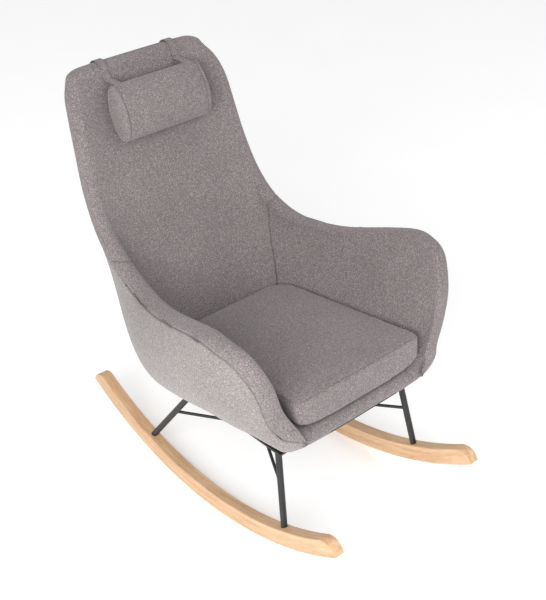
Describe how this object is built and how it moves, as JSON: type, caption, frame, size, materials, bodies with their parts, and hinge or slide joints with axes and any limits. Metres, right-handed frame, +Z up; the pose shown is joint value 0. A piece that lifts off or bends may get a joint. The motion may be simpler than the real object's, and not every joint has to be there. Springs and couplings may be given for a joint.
{
  "type": "rocking chair",
  "caption": "Upholstered high-back tub rocking chair with loose seat cushion and strapped head pillow, on steel legs with bent rod braces and curved beech rockers.",
  "frame": {"origin": "on the floor, under the middle of the chair's length and width", "axes": "+Z up; the front of the chair faces -Y; X runs across the chair, which is symmetric about X = 0"},
  "size_m": [0.7134, 1.0219, 0.9952],
  "materials": {
    "beech": "clear-lacquered beech, satin",
    "black_steel": "black powder coat, satin",
    "zinc_steel": "zinc-plated",
    "moulded_shell": "moulded, matte",
    "foam": "open-cell foam",
    "inner_fabric": "woven melange, taupe",
    "outer_fabric": "woven melange, light taupe",
    "black_lining": "spun-bonded cloth",
    "hook_and_loop": "woven tape, dark taupe",
    "slider_metal": "gunmetal"
  },
  "bodies": {
    "root": {"back_pad": "foam", "dust_cover": "black_lining", "front_brace": "black_steel", "front_crossbar": "black_steel", "front_left_leg": "black_steel", "front_right_leg": "black_steel", "inner_back_cover": "inner_fabric", "left_arm_pad": "foam", "left_inner_arm_cover": "inner_fabric", "left_mounting_cleat": "moulded_shell", "left_mounting_rail": "black_steel", "left_outer_cover": "outer_fabric", "left_outer_wadding": "foam", "left_pillow_strap": "inner_fabric", "left_rocker": "beech", "leg_inserts": "zinc_steel", "lower_back_cover": "inner_fabric", "lower_back_pad": "foam", "mounting_bolts": "zinc_steel", "mounting_washers": "zinc_steel", "outer_back_cover": "outer_fabric", "outer_back_wadding": "foam", "rear_brace": "black_steel", "rear_crossbar": "black_steel", "rear_left_leg": "black_steel", "rear_right_leg": "black_steel", "right_arm_pad": "foam", "right_inner_arm_cover": "inner_fabric", "right_mounting_cleat": "moulded_shell", "right_mounting_rail": "black_steel", "right_outer_cover": "outer_fabric", "right_outer_wadding": "foam", "right_pillow_strap": "inner_fabric", "right_rocker": "beech", "rocker_screws": "zinc_steel", "rocker_washers": "zinc_steel", "seat_deck_cover": "inner_fabric", "seat_pad": "foam", "seat_shell": "moulded_shell", "strap_patches": "hook_and_loop", "tee_nuts": "zinc_steel"},
    "seat_cushion": {"cushion_cover": "inner_fabric", "cushion_foam": "foam", "cushion_zip": "hook_and_loop"},
    "zip_slider": {"zip_slider": "slider_metal"},
    "head_pillow": {"pillow_cover": "inner_fabric", "pillow_filling": "foam"}
  },
  "joints": [
    {"name": "cushion_lift", "type": "slide", "parent": "root", "child": "seat_cushion", "axis": [0, 0, 1], "range_m": [0, 0.25]},
    {"name": "pillow_swing", "type": "hinge", "parent": "root", "child": "head_pillow", "pos_m": [0, 0.483, 0.966], "axis": [-1, 0, 0], "range_deg": [0, 90], "deforming": ["left_pillow_strap", "right_pillow_strap"]},
    {"name": "zip_travel", "type": "slide", "parent": "seat_cushion", "child": "zip_slider", "axis": [1, 0, 0], "range_m": [0, 0.22]}
  ]
}
